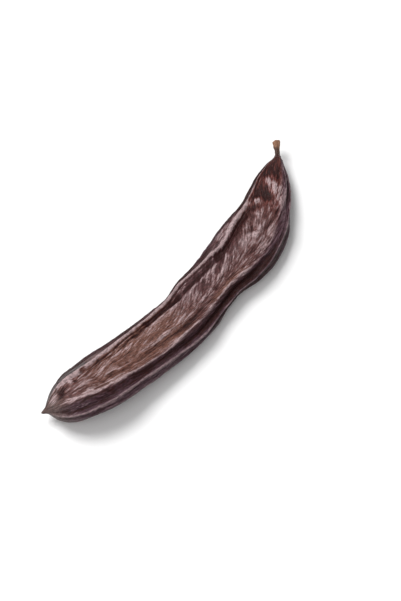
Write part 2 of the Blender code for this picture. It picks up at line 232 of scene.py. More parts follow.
# %% Main creases
# Length of one degree round the section, for each millimetre of half the width
ARC_PER_DEGREE = 0.0156
CREASE_FADE = 2.5
CREASE_PIECES = 5
CREASE_REACH = 3
CREASE_END = 0.3
# Station and degree of the crease inside the hollow edge's rim
LONG_CREASE = ((11, 78), (14, 73), (20, 68), (30, 65), (36, 60), (41, 55), (46, 50), (53, 48),
               (60, 54), (70, 57), (79, 62), (84, 61), (90, 58), (96, 56), (102, 52))
# Breadth and height in millimetres, then the curve's points as station and degree
MAIN_CREASES = (
    (1.1, -1.1, LONG_CREASE),
    (1.3, 0.5, ((10, 78), (14, 73), (20, 68), (30, 65), (38, 58))),
    (1.7, -0.5, ((42, 55), (46, 50), (53, 49), (60, 54))),
    (1.0, -0.9, ((5, 73), (7, 82), (8, 97))),
    (0.9, 0.5, ((2, 108), (6, 104), (10, 101), (15, 96))),
    (0.9, 0.5, ((4, 67), (8, 69), (13, 67), (20, 63))),
    (1.0, 0.35, ((19, 104), (24, 99), (30, 97))),
    (1.0, -0.4, ((18, 110), (25, 107), (33, 105), (42, 107))),
    (1.2, -0.4, ((40, 110), (48, 112), (58, 110), (66, 113))),
    (1.0, 0.3, ((34, 98), (42, 96), (52, 100), (60, 98))),
    (1.2, -0.5, ((71, 80), (74, 74), (77, 68), (80, 64))),
    (0.9, 0.3, ((70, 74), (73, 69), (77, 63))),
    (1.0, 0.35, ((72, 86), (76, 80), (81, 72))),
    (1.0, -0.3, ((66, 95), (72, 98), (80, 101), (88, 105))),
    (1.0, 0.35, ((90, 79), (94, 73), (97, 69))),
    (0.8, -0.35, ((90, 86), (95, 80), (99, 75))),
    (1.0, 0.4, ((92, 91), (96, 84), (100, 79))),
    (0.8, 0.4, ((89, 92), (94, 98), (97, 103), (101, 111), (104, 117))),
    (0.8, 0.3, ((95, 98), (98, 92), (102, 86))),
    (1.0, -0.3, ((90, 103), (96, 109), (103, 121))),
    (1.1, -0.3, ((99, 63), (101, 72), (105, 81), (109, 86))),
    (1.1, -0.7, ((16, 246), (26, 249), (38, 243), (50, 250), (64, 245), (78, 243), (92, 246), (102, 244))),
    (1.1, -0.8, ((14, 294), (26, 292), (40, 290), (54, 294), (68, 297), (82, 293), (96, 290))),
    (1.1, 0.5, ((30, 262), (35, 272), (41, 284))),
    (1.1, -0.6, ((33, 252), (39, 264), (45, 278))),
    (1.1, -0.6, ((52, 290), (58, 278), (64, 264))),
    (1.1, 0.5, ((68, 256), (74, 268), (80, 282))),
    (1.1, -0.6, ((72, 250), (78, 264), (85, 278))),
    (1.1, -0.6, ((88, 288), (93, 276), (98, 262))),
    (1.1, 0.5, ((100, 250), (104, 262), (108, 276))),
)


def crease(station, degree, scale, breadth, height, points):
    """Relief of one crease: a bell of the distance to its curve, fading at both ends.

    The curve is cut into short straight pieces, and each place takes its distance to the
    nearest. Lengths round the section are degrees times the scale, in millimetres.
    """
    knots = np.arange(len(points))
    fine = np.linspace(0, knots[-1], CREASE_PIECES * knots[-1] + 1)
    along = through(fine, knots, [point[0] for point in points])
    round_by = through(fine, knots, [point[1] for point in points])
    rings = station[:, 0]
    reach = CREASE_REACH * breadth
    near = (rings > along.min() - reach) & (rings < along.max() + reach)
    relief = np.zeros(station.shape)
    station, degree, scale = station[near], degree[near], scale[near]
    steps = np.hypot(np.diff(along), np.diff(round_by) * scale.mean())
    travelled = np.concatenate([[0], np.cumsum(steps)])
    nearest, reached = np.full(station.shape, np.inf), np.zeros(station.shape)
    for piece in range(len(steps)):
        run, rise = along[piece + 1] - along[piece], (round_by[piece + 1] - round_by[piece]) * scale
        away, over = station - along[piece], (degree - round_by[piece]) * scale
        share = np.clip((away * run + over * rise) / (run * run + rise * rise), 0, 1)
        distance = np.hypot(away - share * run, over - share * rise)
        closer = distance < nearest
        nearest = np.where(closer, distance, nearest)
        reached = np.where(closer, travelled[piece] + share * steps[piece], reached)
    fade = window(reached, -CREASE_END, travelled[-1] + CREASE_END, CREASE_FADE)
    relief[near] = height * fade * bell(nearest, 0, breadth)
    return relief


print(len(MAIN_CREASES), "main creases")

# %% [markdown]
# ## Bulges, seeds and resting spots
# Between the creases the skin bulges, most of all towards the neck. The seeds inside raise a low
# row of swellings along both faces. Three spots under the rims are filled out a little, and the
# pod lies on them: without them it would rock on the pleats of its own skin. All are bells.

# %% Bulges, seeds and resting spots
# Station and degree, half the length, half the width and the height in millimetres
BULGES = (
    (15.5, 100, 2.2, 1.8, 0.5), (46.5, 121, 3.0, 1.4, 0.5), (61, 83, 3.2, 2.2, 0.35),
    (77, 121, 2.6, 1.4, 0.4), (86, 82, 3.0, 2.2, 0.5), (103.5, 68, 1.9, 1.4, 0.8),
    (112, 76, 1.9, 1.5, 0.5), (109.5, 100, 2.3, 1.6, 0.5), (104.5, 125, 2.8, 1.4, 0.5),
)
SEED_FIRST, SEED_PITCH, SEED_COUNT = 15.0, 9.4, 11
SEED_LENGTH, SEED_WIDTH, SEED_RISE = 2.7, 3.4, 0.28
# Station and degree, radius and height in millimetres
REST_SPOTS = ((15, 304, 4.5, 2.05), (60, 234, 4.5, 1.95), (100, 304, 4.5, 0.85))


def main_relief(station, degree, width):
    """Sum of the main creases, the bulges, the row of seeds and the spots that the pod lies on."""
    scale = ARC_PER_DEGREE * width
    total = np.zeros(station.shape)
    for breadth, height, points in MAIN_CREASES:
        total += crease(station, degree, scale, breadth, height, points)
    for middle, at, long, wide, rise in BULGES:
        total += rise * bell(station, middle, long) * bell((degree - at) * scale, 0, wide)
    for seed in range(SEED_COUNT):
        along = bell(station, SEED_FIRST + SEED_PITCH * seed, SEED_LENGTH)
        total += SEED_RISE * along * bell(np.cos(np.radians(degree)) * width, 0, SEED_WIDTH)
    for middle, at, radius, rise in REST_SPOTS:
        total += rise * bell(station, middle, radius) * bell((degree - at) * scale, 0, radius)
    return total


print(len(BULGES), "bulges,", SEED_COUNT, "seeds,", len(REST_SPOTS), "resting spots")

# %% [markdown]
# ## Noise that closes round the pod
# Between the main creases the skin is pleated: long fine folds that slant a little across the
# faces. Painting them as a bump texture would leave the mesh smooth when it is used elsewhere, so
# they are real relief. They start from a lattice of random heights, blended smoothly, that
# repeats after one turn and so leaves no seam.

# %% Noise
PLEAT_SEED = 5
NOISE_ROWS = 256


def eased(part):
    """A step from zero to one, level at both ends: six fifth powers less 15 fourths plus 10 cubes."""
    return part ** 3 * (part * (part * 6 - 15) + 10)


def lattice_noise(x, y, turns, seed):
    """Random heights from zero to one on whole numbers, blended by a smooth step in both ways.

    The second coordinate repeats after the given number of turns, so it closes round the pod.
    """
    heights = np.random.default_rng(seed).random((NOISE_ROWS, turns))
    row, column = np.floor(x).astype(int), np.floor(y).astype(int)
    along, across = eased(x - row), eased(y - column)
    row, next_row = row % NOISE_ROWS, (row + 1) % NOISE_ROWS
    column, next_column = column % turns, (column + 1) % turns
    near = heights[row, column] * (1 - along) + heights[next_row, column] * along
    far = heights[row, next_column] * (1 - along) + heights[next_row, next_column] * along
    return near * (1 - across) + far * across


def skin_noise(station, degree, long, wide, seed):
    """Lattice noise in cells of a length along the pod, in millimetres, and of an angle round it."""
    return lattice_noise(station / long, degree / wide, int(360 / wide), seed)


print("noise at 0 and 360 degrees:", *(round(float(skin_noise(60.5, turn, 6.0, 30.0, PLEAT_SEED)), 3)
                                       for turn in (0.0, 360.0)))

# %% [markdown]
# ## Which way pleats lean
# Pleats show how the drying skin was pulled. They cross the upper face's hollow half, more
# steeply past mid-length, run straight by the arched rim, turn back from it near the stalk, and
# slant gently underneath. The lean is a sum of three bells round the section.

# %% Lean of the pleats
# Degrees per millimetre before mid-length, how many more past it, then middle and spread
LEANS = ((1.8, 1.6, 70, 28), (0.0, -1.8, 124, 18), (1.6, 0.0, 280, 40))
LATER_FROM, LATER_OVER = 45, 20


def lean(station, degree):
    """How fast pleats fall towards the hollow edge, in degrees for each millimetre along."""
    late = np.clip((station - LATER_FROM) / LATER_OVER, 0, 1)
    return sum((early + more * late) * bell(degree, middle, spread)
               for early, more, middle, spread in LEANS)


print("degrees per mm on the upper face:", *(round(float(lean(place, 70)), 1) for place in (20, 60, 100)))

# %% [markdown]
# ## Pleats
# Noise drawn out along the pod gives streaks. Shearing it by a lean that changes from place to
# place would smear it where the lean changes fast. So each of four fixed slants has noise of its
# own, and a place takes the two slants next to its lean. Folding the noise about its middle turns
# soft streaks into sharp pleats.

# %% Pleats
SLANT_STEP = 1.6
SLANTS = (-1.6, 0.0, 1.6, 3.2)
SLANT_SHIFT, SLANT_SEEDS = 7.3, 31
WANDER, WANDER_CELL, WANDER_SEED = 7.0, (6.0, 30.0), 50


def pleats(station, degree, long, count, seed, sharp):
    """Streaks of a length along the pod, a count of them round it, that slant as the lean says.

    Each slant's share falls evenly to nothing one step from the lean. Sharp streaks are folded:
    one minus twice the distance from the middle height. The sum is divided by the root of the
    squared shares, so that blends are as strong as a single slant.
    """
    slant = np.clip(lean(station, degree), SLANTS[0], SLANTS[-1])
    wander = WANDER * (skin_noise(station, degree, *WANDER_CELL, seed + WANDER_SEED) - 0.5)
    total, power = np.zeros(station.shape), np.zeros(station.shape)
    for order, fixed in enumerate(SLANTS):
        share = np.clip(1 - np.abs(slant - fixed) / SLANT_STEP, 0, 1)
        place = (degree + fixed * station + wander) / 360.0 * count
        own_seed = seed * SLANT_SEEDS + order
        noise = lattice_noise(station / long + SLANT_SHIFT * order, place, count, own_seed)
        streaks = 2 * noise - 1
        total += share * (1 - 2 * np.abs(streaks) if sharp else streaks)
        power += share ** 2
    return total / np.sqrt(power)


# %% [markdown]
# ## Lines along the rims
# The rims are the thickest skin, and they wrinkle finely as they dry. The hollow edge's rim has
# a thin crest, a groove beside it and fine lines that run along it. The arched edge's rim has a
# wider crest, and lumps on its inner slope near the beak. Noise makes all but the groove uneven.

# %% Lines along the rims
# Height in millimetres, then middle and spread in degrees from the rim
HOLLOW_CREST = (0.14, 0.0, 1.8)
HOLLOW_GROOVE = (0.16, 4.5, 2.2)
HOLLOW_LINES = (0.10, 6.0, 7.0)
ARCHED_CREST = (0.16, -1.0, 2.5)
ARCHED_LUMPS = (0.24, -4.0, 6.0)
LINE_FIRST, LINE_PITCH = 2.5, 5.0
GROOVE_STRETCH, LUMP_STRETCH = (10, 104, 6), (3, 32, 6)
UNEVEN_NOISE, LUMP_NOISE = (3.0, 8.0, PLEAT_SEED + 9), (0.9, 4.0, PLEAT_SEED + 10)
# Least and greatest share of the height, as the noise has it
HOLLOW_CREST_SHARES, ARCHED_CREST_SHARES, LINE_SHARES = (0.5, 1.5), (0.3, 1.5), (0.2, 1.5)


def past_hollow_rim(station, degree):
    """Degrees from the hollow edge's upper rim, towards the middle of the face."""
    return degree - through(station, HOLLOW_RIM_AT, HOLLOW_RIM)


def past_arched_rim(station, degree):
    """Degrees from the arched edge's upper rim, away from the middle of the face."""
    return degree - 180 + through(station, ARCHED_RIM_AT, ARCHED_RIM)


def band(value, height, middle, spread):
    """A bell of a given height."""
    return height * bell(value, middle, spread)


def between(share, least, greatest):
    """The least value plus a share of the way to the greatest."""
    return least + (greatest - least) * share


def rim_lines(station, degree):
    """Crests and a groove as narrow bells, lines as a cosine under a bell, lumps as fine noise."""
    inside, beyond = past_hollow_rim(station, degree), past_arched_rim(station, degree)
    uneven = skin_noise(station, degree, *UNEVEN_NOISE)
    crests = band(inside, *HOLLOW_CREST) * between(uneven, *HOLLOW_CREST_SHARES)
    crests += band(beyond, *ARCHED_CREST) * between(uneven, *ARCHED_CREST_SHARES)
    waves = np.cos(2 * np.pi * (inside - LINE_FIRST) / LINE_PITCH)
    lines = waves * band(inside, *HOLLOW_LINES) * between(uneven, *LINE_SHARES)
    groove = band(inside, *HOLLOW_GROOVE) * window(station, *GROOVE_STRETCH)
    lumpy = skin_noise(station, degree, *LUMP_NOISE) - 0.5
    lumps = lumpy * band(beyond, *ARCHED_LUMPS) * window(station, *LUMP_STRETCH)
    return crests + lines - groove + lumps


# %% [markdown]
# ## All of the skin's relief
# Four sets of pleats lie over each other, from swells some 5 mm broad to lines of a quarter of a
# millimetre. Real skin has creases of every size, and one set alone looks like a pattern.

# %% The skin's relief
# Length of a streak in millimetres, count round the pod, seed, and whether it is folded
BROAD_SWELLS = (7.0, 11, PLEAT_SEED, False)
FOLDS = (10.0, 36, PLEAT_SEED + 1, True)
FINE_PLEATS = (6.0, 90, PLEAT_SEED + 2, True)
HAIR_LINES = (3.5, 190, PLEAT_SEED + 3, True)
SWELL_HEIGHT, FOLD_HEIGHT, PLEAT_HEIGHT, HAIR_HEIGHT = 0.20, 0.08, 0.09, 0.10
SMOOTH_END, ROUGHER_FROM, ROUGHER_OVER = 0.6, 45, 25


def skin_relief(station, degree):
    """Swells, folds, fine pleats and hair lines, each times its height, and the rims' lines.

    Folds and fine pleats grow from their low share at the beak to all of their height.
    """
    rough = between(np.clip((station - ROUGHER_FROM) / ROUGHER_OVER, 0, 1), SMOOTH_END, 1)
    swells = SWELL_HEIGHT * pleats(station, degree, *BROAD_SWELLS)
    folds = FOLD_HEIGHT * pleats(station, degree, *FOLDS)
    fine = PLEAT_HEIGHT * pleats(station, degree, *FINE_PLEATS)
    hair = HAIR_HEIGHT * pleats(station, degree, *HAIR_LINES)
    return swells + rough * (folds + fine) + hair + rim_lines(station, degree)


print("pleats up to", SWELL_HEIGHT + FOLD_HEIGHT + PLEAT_HEIGHT + HAIR_HEIGHT, "mm to each side")

# %% [markdown]
# ## The body's surface
# A section is a flat dome above and below its middle. Everything raised from it goes along the
# direction in which an ellipse as wide and as deep would face, so ridges near the edges lean
# outwards as they do on the pod. The underside is cut off at the surface that the pod lies on.

# %% The body as a function of two numbers
FACE_LEVEL = 0.78
DOME_FLATNESS, DOME_SHOULDER = 2.6, 0.62


def half_width(station, degree):
    """From the centreline to the edge on the place's own side, in millimetres."""
    hollow = through(station, STATIONS, HOLLOW_WIDTH)
    return np.where(np.cos(np.radians(degree)) > 0, hollow, through(station, STATIONS, ARCHED_WIDTH))


def pod_surface(station, degree, extra):
    """Points in millimetres: the dome plus the extra along its outward direction, then placed.

    The dome's height is the depth times a power of one minus another power of the cosine. The
    section is then turned by the twist and set across the centreline.
    """
    share, lift, up = np.cos(np.radians(degree)), np.sin(np.radians(degree)), degree <= 180
    width = half_width(station, degree)
    depth = np.where(up, through(station, STATIONS, UPPER_DEPTH), through(station, STATIONS, LOWER_DEPTH))
    dome = FACE_LEVEL * (1 - np.abs(share) ** DOME_FLATNESS) ** DOME_SHOULDER
    outward = np.hypot(share / width, lift / depth)
    out = width * share + extra / outward * share / width
    high = np.where(up, depth * dome, -depth * dome) + extra / outward * lift / depth
    twist = np.radians(through(station, TWIST_AT, TWIST))
    turned_out = out * np.cos(twist) + high * np.sin(twist)
    turned_high = high * np.cos(twist) - out * np.sin(twist)
    x, y, heading = centreline(station)
    z = np.maximum(through(station, STATIONS, MIDDLE_HEIGHT) + turned_high, 0.0)
    return np.stack([x - np.sin(heading) * turned_out, y + np.cos(heading) * turned_out, z], axis=-1)


face_middle = pod_surface(np.array(60.0), np.array(90.0), 0.0)
print("middle of the upper face:", face_middle.round(1), "mm")

# %% [markdown]
# ## The body's grid
# A grid of equal steps would spend its points on the smooth faces. Instead its columns follow the
# rims and crowd round them, and its rings crowd a little towards both ends.

# %% The body's grid
# The long crease, carried on to both ends
CREASE_AT, CREASE_ANGLE = zip((0, 79), *LONG_CREASE, (122, 51))
RIM_FOOT = 13.0
COLUMNS = (0, 22, 32, 66, 96, 114, 140, 152, 168, 174, 186, 198, 204, 228)
SIDE_COUNT = COLUMNS[-1]
RING_COUNT = 420
END_CROWDING = 0.035
END_FADE = 9.0


def column_angles(station):
    """Angles of the points of a section: even steps between the rims, creases and keels."""
    hollow_rim = through(station, HOLLOW_RIM_AT, HOLLOW_RIM)
    hollow_crease = through(station, CREASE_AT, CREASE_ANGLE)
    arched_rim = 180 - through(station, ARCHED_RIM_AT, ARCHED_RIM)
    arched_keel = 180 - through(station, ARCHED_KEEL_AT, ARCHED_KEEL)
    upper = (0, hollow_rim, hollow_crease, 90, arched_rim - RIM_FOOT, arched_rim, arched_keel)
    lower = (180, 180 + UNDER_RIM, 180 + UNDER_RIM + RIM_FOOT, 270, 360 - UNDER_RIM - RIM_FOOT,
             360 - UNDER_RIM, 360)
    return np.interp(np.arange(SIDE_COUNT), COLUMNS, upper + lower)


even = np.linspace(0, 1, RING_COUNT)
ring_stations = BODY_LENGTH * (even - END_CROWDING * np.sin(2 * np.pi * even))
degree = np.stack([column_angles(ring) for ring in ring_stations])
station = ring_stations[:, None] + 0 * degree
width = half_width(station, degree)
body_window = window(station, 0.0, BODY_LENGTH, END_FADE)
own_relief = main_relief(station, degree, width) + skin_relief(station, degree)
relief = body_window * (edges(station, degree) + own_relief)
body_points = pod_surface(station, degree, relief)
print("body grid", body_points.shape, "relief from", round(float(relief.min()), 2), "to",
      round(float(relief.max()), 2), "mm")

# %% [markdown]
# ## The stalk
# The stalk is a thin woody stem, ribbed by its fibres, that widens to a knob where it broke off
# the tree and has a small bump below it. It is carried along a curve as the body is: a ring of
# points at each step, turned to face along the curve. It starts inside the neck.

# %% The stalk's axis
STALK_HEADING = 46.0
STALK_RISE = 7.0
STALK_AT = (-1.9, -1.7, -0.6, 0.0, 1.2, 2.4, 3.6, 4.7, 5.6, 6.3, 6.9, 7.25, 7.4)
STALK_RADIUS = (0.75, 0.95, 0.95, 0.95, 0.86, 0.80, 0.79, 0.86, 1.0, 1.16, 1.24, 1.14, 0.82)
STALK_AXIS_POINTS = 401
STALK_RINGS = 150


def stalk_axis(along):
    """Points on the stalk's axis and the two directions across it, turning and rising evenly."""
    fine = np.linspace(STALK_AT[0], STALK_AT[-1], STALK_AXIS_POINTS)
    bend = np.clip(fine / STALK_AT[-1], 0, 1)
    heading = end_heading + (np.radians(STALK_HEADING) - end_heading) * bend
    climb = np.radians(STALK_RISE) * bend
    level = np.cos(climb)
    forward = np.stack([np.cos(heading) * level, np.sin(heading) * level, np.sin(climb)], -1)
    path = np.cumsum(forward, axis=0) * (fine[1] - fine[0])
    path += np.array([end_x, end_y, MIDDLE_HEIGHT[-1]]) - path[np.searchsorted(fine, 0.0)]
    centre = np.stack([np.interp(along, fine, path[:, axis]) for axis in range(3)], -1)
    heading, climb = np.interp(along, fine, heading), np.interp(along, fine, climb)
    sideways = np.stack([-np.sin(heading), np.cos(heading), 0 * heading], -1)
    tilt = np.sin(climb)
    upward = np.stack([-np.cos(heading) * tilt, -np.sin(heading) * tilt, np.cos(climb)], -1)
    return centre, sideways, upward


stalk_along = np.linspace(STALK_AT[0], STALK_AT[-1], STALK_RINGS)
centre, sideways, upward = stalk_axis(stalk_along)
print("stalk's axis from", centre[0].round(1), "to", centre[-1].round(1), "mm")

# %% [markdown]
# ## The stalk's surface
# Its radius is a smooth curve, times ribs that are a cosine round it, plus a side bump and two
# sets of noise: fibres that run along it and knots that don't. In the neck it is nearly plain.

# %% The stalk's grid
STALK_RIBS = 5
STALK_RIB_HEIGHT = 0.10
STALK_SIDES = 72
STALK_CLEAR = (0.0, 9.0, 2.0)
# Height and length in millimetres, count round the stalk, where the noise starts, and its seed
STALK_FIBRES = (0.05, 1.6, 22, 9, 31)
STALK_KNOTS = (0.14, 1.1, 7, 3, 37)
HIDDEN_ROUGHNESS = 0.2
BUMP_HEIGHT, BUMP_AT, BUMP_LENGTH = 0.32, 5.1, 0.7
BUMP_ANGLE, BUMP_SPREAD = 15, 32


def stalk_noise(reach, angle, height, long, count, start, seed):
    """Lattice noise about its middle height, in cells of a length, with a count of them round."""
    noise = lattice_noise(reach / long + start, angle / 360 * count, count, seed)
    return height * (noise - 0.5)


stalk_round = np.arange(STALK_SIDES) * 2 * np.pi / STALK_SIDES
reach, angle = np.meshgrid(stalk_along, np.degrees(stalk_round), indexing="ij")
clear = window(reach, *STALK_CLEAR)
ribs = STALK_RIB_HEIGHT * np.cos(STALK_RIBS * np.radians(angle)) * clear
rough = stalk_noise(reach, angle, *STALK_FIBRES) + stalk_noise(reach, angle, *STALK_KNOTS)
rough = rough * np.minimum(1, clear + HIDDEN_ROUGHNESS)
bump = band(reach, BUMP_HEIGHT, BUMP_AT, BUMP_LENGTH)
bump = bump * bell((angle + 180) % 360 - 180, BUMP_ANGLE, BUMP_SPREAD)
stalk_radius = through(reach, STALK_AT, STALK_RADIUS) * (1 + ribs) + bump + rough
circle = (np.cos(stalk_round)[None, :, None] * sideways[:, None]
          + np.sin(stalk_round)[None, :, None] * upward[:, None])
stalk_points = centre[:, None] + stalk_radius[..., None] * circle
print("stalk grid", stalk_points.shape, "radius up to", round(float(stalk_radius.max()), 2), "mm")

# %% [markdown]
# ## From grids to meshes
# A grid becomes a mesh by joining each point to its neighbours. Both ends close on a single
# point, so the piece is one closed body that faces outwards. Named values are stored on its
# points, and the materials read them, so colour stays with the skin.

# %% Mesh maker
def closed_mesh(name, grid, first_pole, last_pole, values):
    """Quads between rings and a fan of triangles at each pole, with named values on the points.

    A pole takes the mean value of the ring next to it.
    """
    rings, sides = grid.shape[:2]
    middle = np.array([*PLAN_MIDDLE, 0.0])
    points = (np.concatenate([[first_pole], grid.reshape(-1, 3), [last_pole]]) - middle) * MM
    ring, side = np.meshgrid(np.arange(rings - 1), np.arange(sides), indexing="ij")
    beside = (side + 1) % sides
    low, high = 1 + ring * sides, 1 + (ring + 1) * sides
    quads = np.stack([low + side, low + beside, high + beside, high + side], -1).reshape(-1, 4)
    around, ahead, last = np.arange(sides), (np.arange(sides) + 1) % sides, len(points) - 1
    first_fan = np.stack([0 * around, 1 + ahead, 1 + around], -1)
    last_fan = np.stack([last + 0 * around, last - sides + around, last - sides + ahead], -1)
    mesh = bpy.data.meshes.new(name)
    mesh.from_pydata(points, [], [*first_fan.tolist(), *last_fan.tolist(), *quads.tolist()])
    for key, value in values.items():
        flat = value.reshape(-1, *value.shape[2:])
        flat = np.concatenate([value[:1].mean(axis=1), flat, value[-1:].mean(axis=1)])
        kind, field = ("FLOAT_VECTOR", "vector") if flat.ndim == 2 else ("FLOAT", "value")
        layer = mesh.attributes.new(key, kind, "POINT")
        layer.data.foreach_set(field, flat.astype(np.float32).ravel())
    mesh.shade_smooth()
    mesh.update()
    made = bpy.data.objects.new(name, mesh)
    bpy.context.scene.collection.objects.link(made)
    return made


# %% [markdown]
# ## The neck
# On the real pod the skin grows into the stalk. Here it draws in round the stalk and folds back
# inside itself, so no gap shows between the two pieces. It is a profile of six rings, carried
# straight on from the body's end.

# %% The neck
# Distance past the body's end and radius, in millimetres
NECK_RINGS = ((0.3, 1.6), (0.7, 1.35), (1.2, 1.17), (1.7, 1.06), (1.75, 0.9), (0.6, 0.7))


def neck_ring(along, radius):
    """A round ring across the neck's own axis, at a distance past the body's end."""
    forward = np.array([math.cos(end_heading), math.sin(end_heading), 0.0])
    across = np.array([-math.sin(end_heading), math.cos(end_heading), 0.0])
    middle = np.array([end_x, end_y, MIDDLE_HEIGHT[-1]]) + along * forward
    turn = np.radians(degree[-1])[:, None]
    return middle + radius * (np.cos(turn) * across + np.sin(turn) * np.array([0.0, 0.0, 1.0]))


def down_to_neck(value):
    """The value on the body's grid, with its last ring repeated on the rings of the neck."""
    return np.concatenate([value, np.repeat(value[-1:], len(NECK_RINGS), axis=0)])


neck = np.stack([neck_ring(along, radius) for along, radius in NECK_RINGS])
body_grid = np.concatenate([body_points, neck])
print("body and neck grid", body_grid.shape)

# %% [markdown]
# ## Crest or hollow
# Colour follows relief here. Crests are pale, partly the pod's bloom where they are rubbed and
# dusted and partly painted sheen, and hollows are dark maroon, partly the skin's own colour and
# partly painted shade. How far a place stands above its surroundings says which it is. Taking the
# relief less its own blur at two sizes finds both fine and wide crests, and streaks are added
# that leave no mark in the relief.

# %% Crests
BLUR_PASSES = 3
FINE_REACH, FINE_RISE = (2, 2), 0.05
WIDE_REACH, WIDE_RISE = (9, 6), 0.25
FINE_SHARE, WIDE_SHARE = 0.44, 0.30
THIN_SHARE, THIN_STREAKS = 0.42, (5.0, 120, PLEAT_SEED + 4, True)
BROAD_SHARE, BROAD_STREAKS = 0.28, (8.0, 45, PLEAT_SEED + 6, False)


def box_blur(field, reach):
    """Each row becomes the mean of the rows up to a reach away, from differences of a sum."""
    running = np.cumsum(np.pad(field, ((1, 0), (0, 0))), axis=0)
    return (running[2 * reach + 1:] - running[:-2 * reach - 1]) / (2 * reach + 1)


def blurred(field, across, along):
    """The field averaged by a box over the grid, some times over, which comes close to a bell."""
    for _ in range(BLUR_PASSES):
        field = box_blur(np.pad(field, ((along, along), (0, 0)), mode="edge"), along)
        field = box_blur(np.pad(field, ((0, 0), (across, across)), mode="wrap").T, across).T
    return field


fine_crest = (relief - blurred(relief, *FINE_REACH)) / FINE_RISE
wide_crest = (own_relief - blurred(own_relief, *WIDE_REACH)) / WIDE_RISE
streaks = (THIN_SHARE * pleats(station, degree, *THIN_STREAKS)
           + BROAD_SHARE * pleats(station, degree, *BROAD_STREAKS))
# The crest sets painted sheen on crests and painted shade in hollows, besides the pod's own tone
crest = FINE_SHARE * fine_crest + WIDE_SHARE * wide_crest + streaks
print("crest spread", crest.std().round(2))
